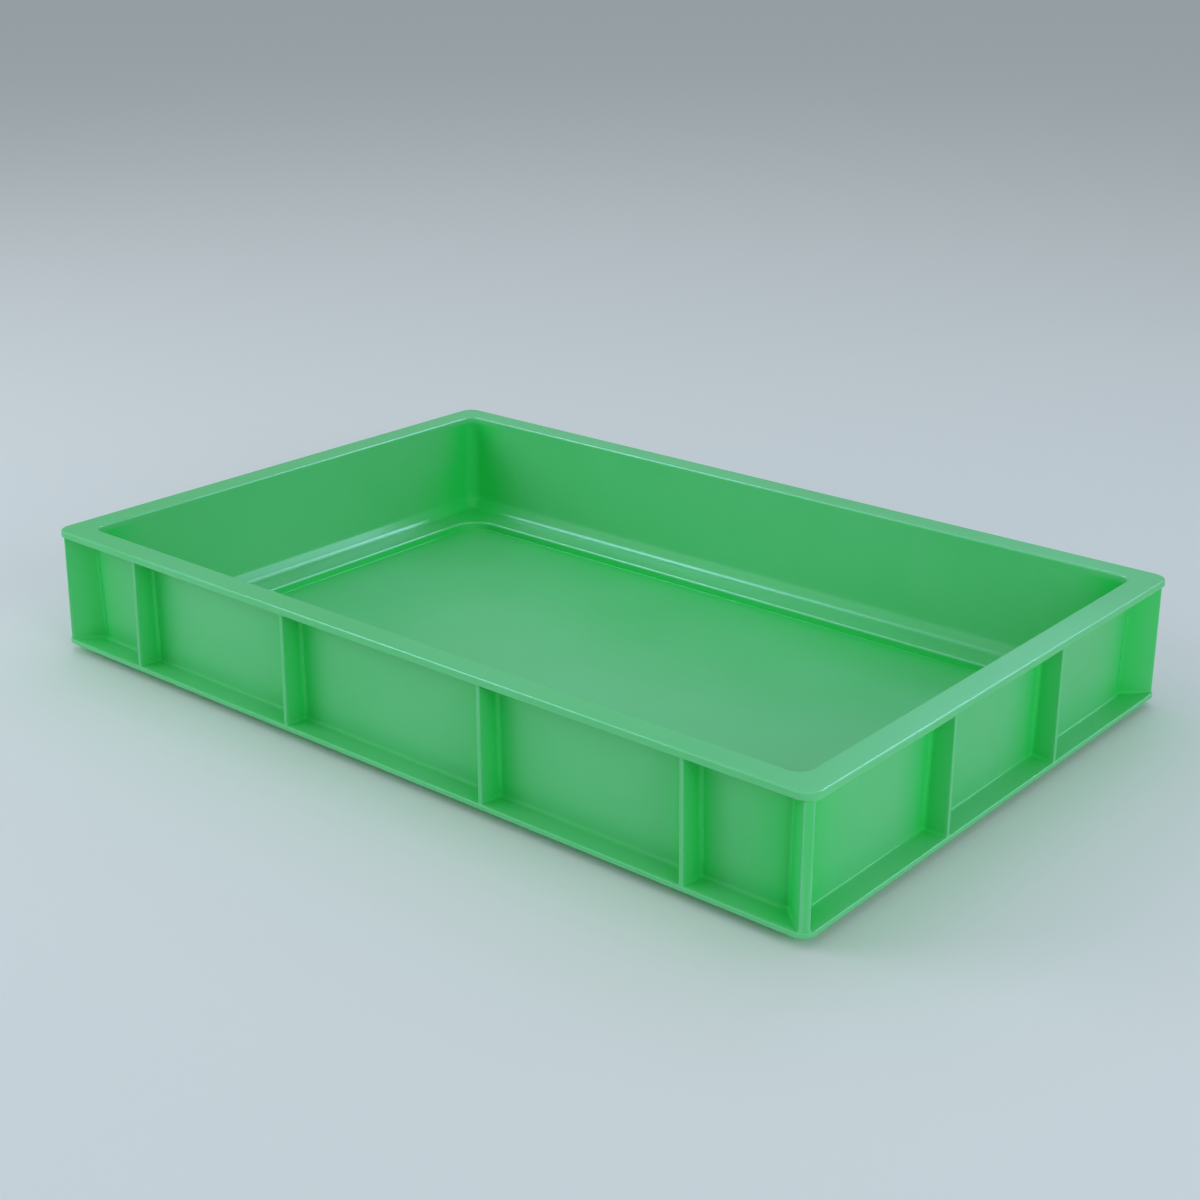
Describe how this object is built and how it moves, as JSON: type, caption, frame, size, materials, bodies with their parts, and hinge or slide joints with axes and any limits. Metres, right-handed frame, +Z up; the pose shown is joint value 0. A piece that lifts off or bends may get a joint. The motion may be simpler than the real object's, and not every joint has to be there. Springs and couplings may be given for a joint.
{
  "type": "stacking tray",
  "caption": "Shallow open stacking tray: ribbed walls between a rounded top rim and a base flange, a dropped floor inside and a shallow stacking foot below.",
  "frame": {"origin": "middle of the footprint, on the ground under the stacking foot", "axes": "+X along the long sides, +Y towards the rear long side, +Z up"},
  "size_m": [0.6, 0.4, 0.085],
  "materials": {
    "green_plastic": "satin moulded polypropylene, slightly translucent green"
  },
  "bodies": {
    "root": {"top_rim": "green_plastic", "base_flange": "green_plastic", "floor_ledge": "green_plastic", "floor_riser": "green_plastic", "floor_panel": "green_plastic", "stacking_foot": "green_plastic", "front_wall": "green_plastic", "rear_wall": "green_plastic", "left_wall": "green_plastic", "right_wall": "green_plastic", "front_rib_1": "green_plastic", "front_rib_2": "green_plastic", "front_rib_3": "green_plastic", "front_rib_4": "green_plastic", "rear_rib_1": "green_plastic", "rear_rib_2": "green_plastic", "rear_rib_3": "green_plastic", "rear_rib_4": "green_plastic", "left_rib_1": "green_plastic", "left_rib_2": "green_plastic", "right_rib_1": "green_plastic", "right_rib_2": "green_plastic", "corner_wall_front_left": "green_plastic", "corner_wall_front_right": "green_plastic", "corner_wall_rear_left": "green_plastic", "corner_wall_rear_right": "green_plastic", "corner_rib_front_left": "green_plastic", "corner_rib_front_right": "green_plastic", "corner_rib_rear_left": "green_plastic", "corner_rib_rear_right": "green_plastic"}
  },
  "joints": []
}
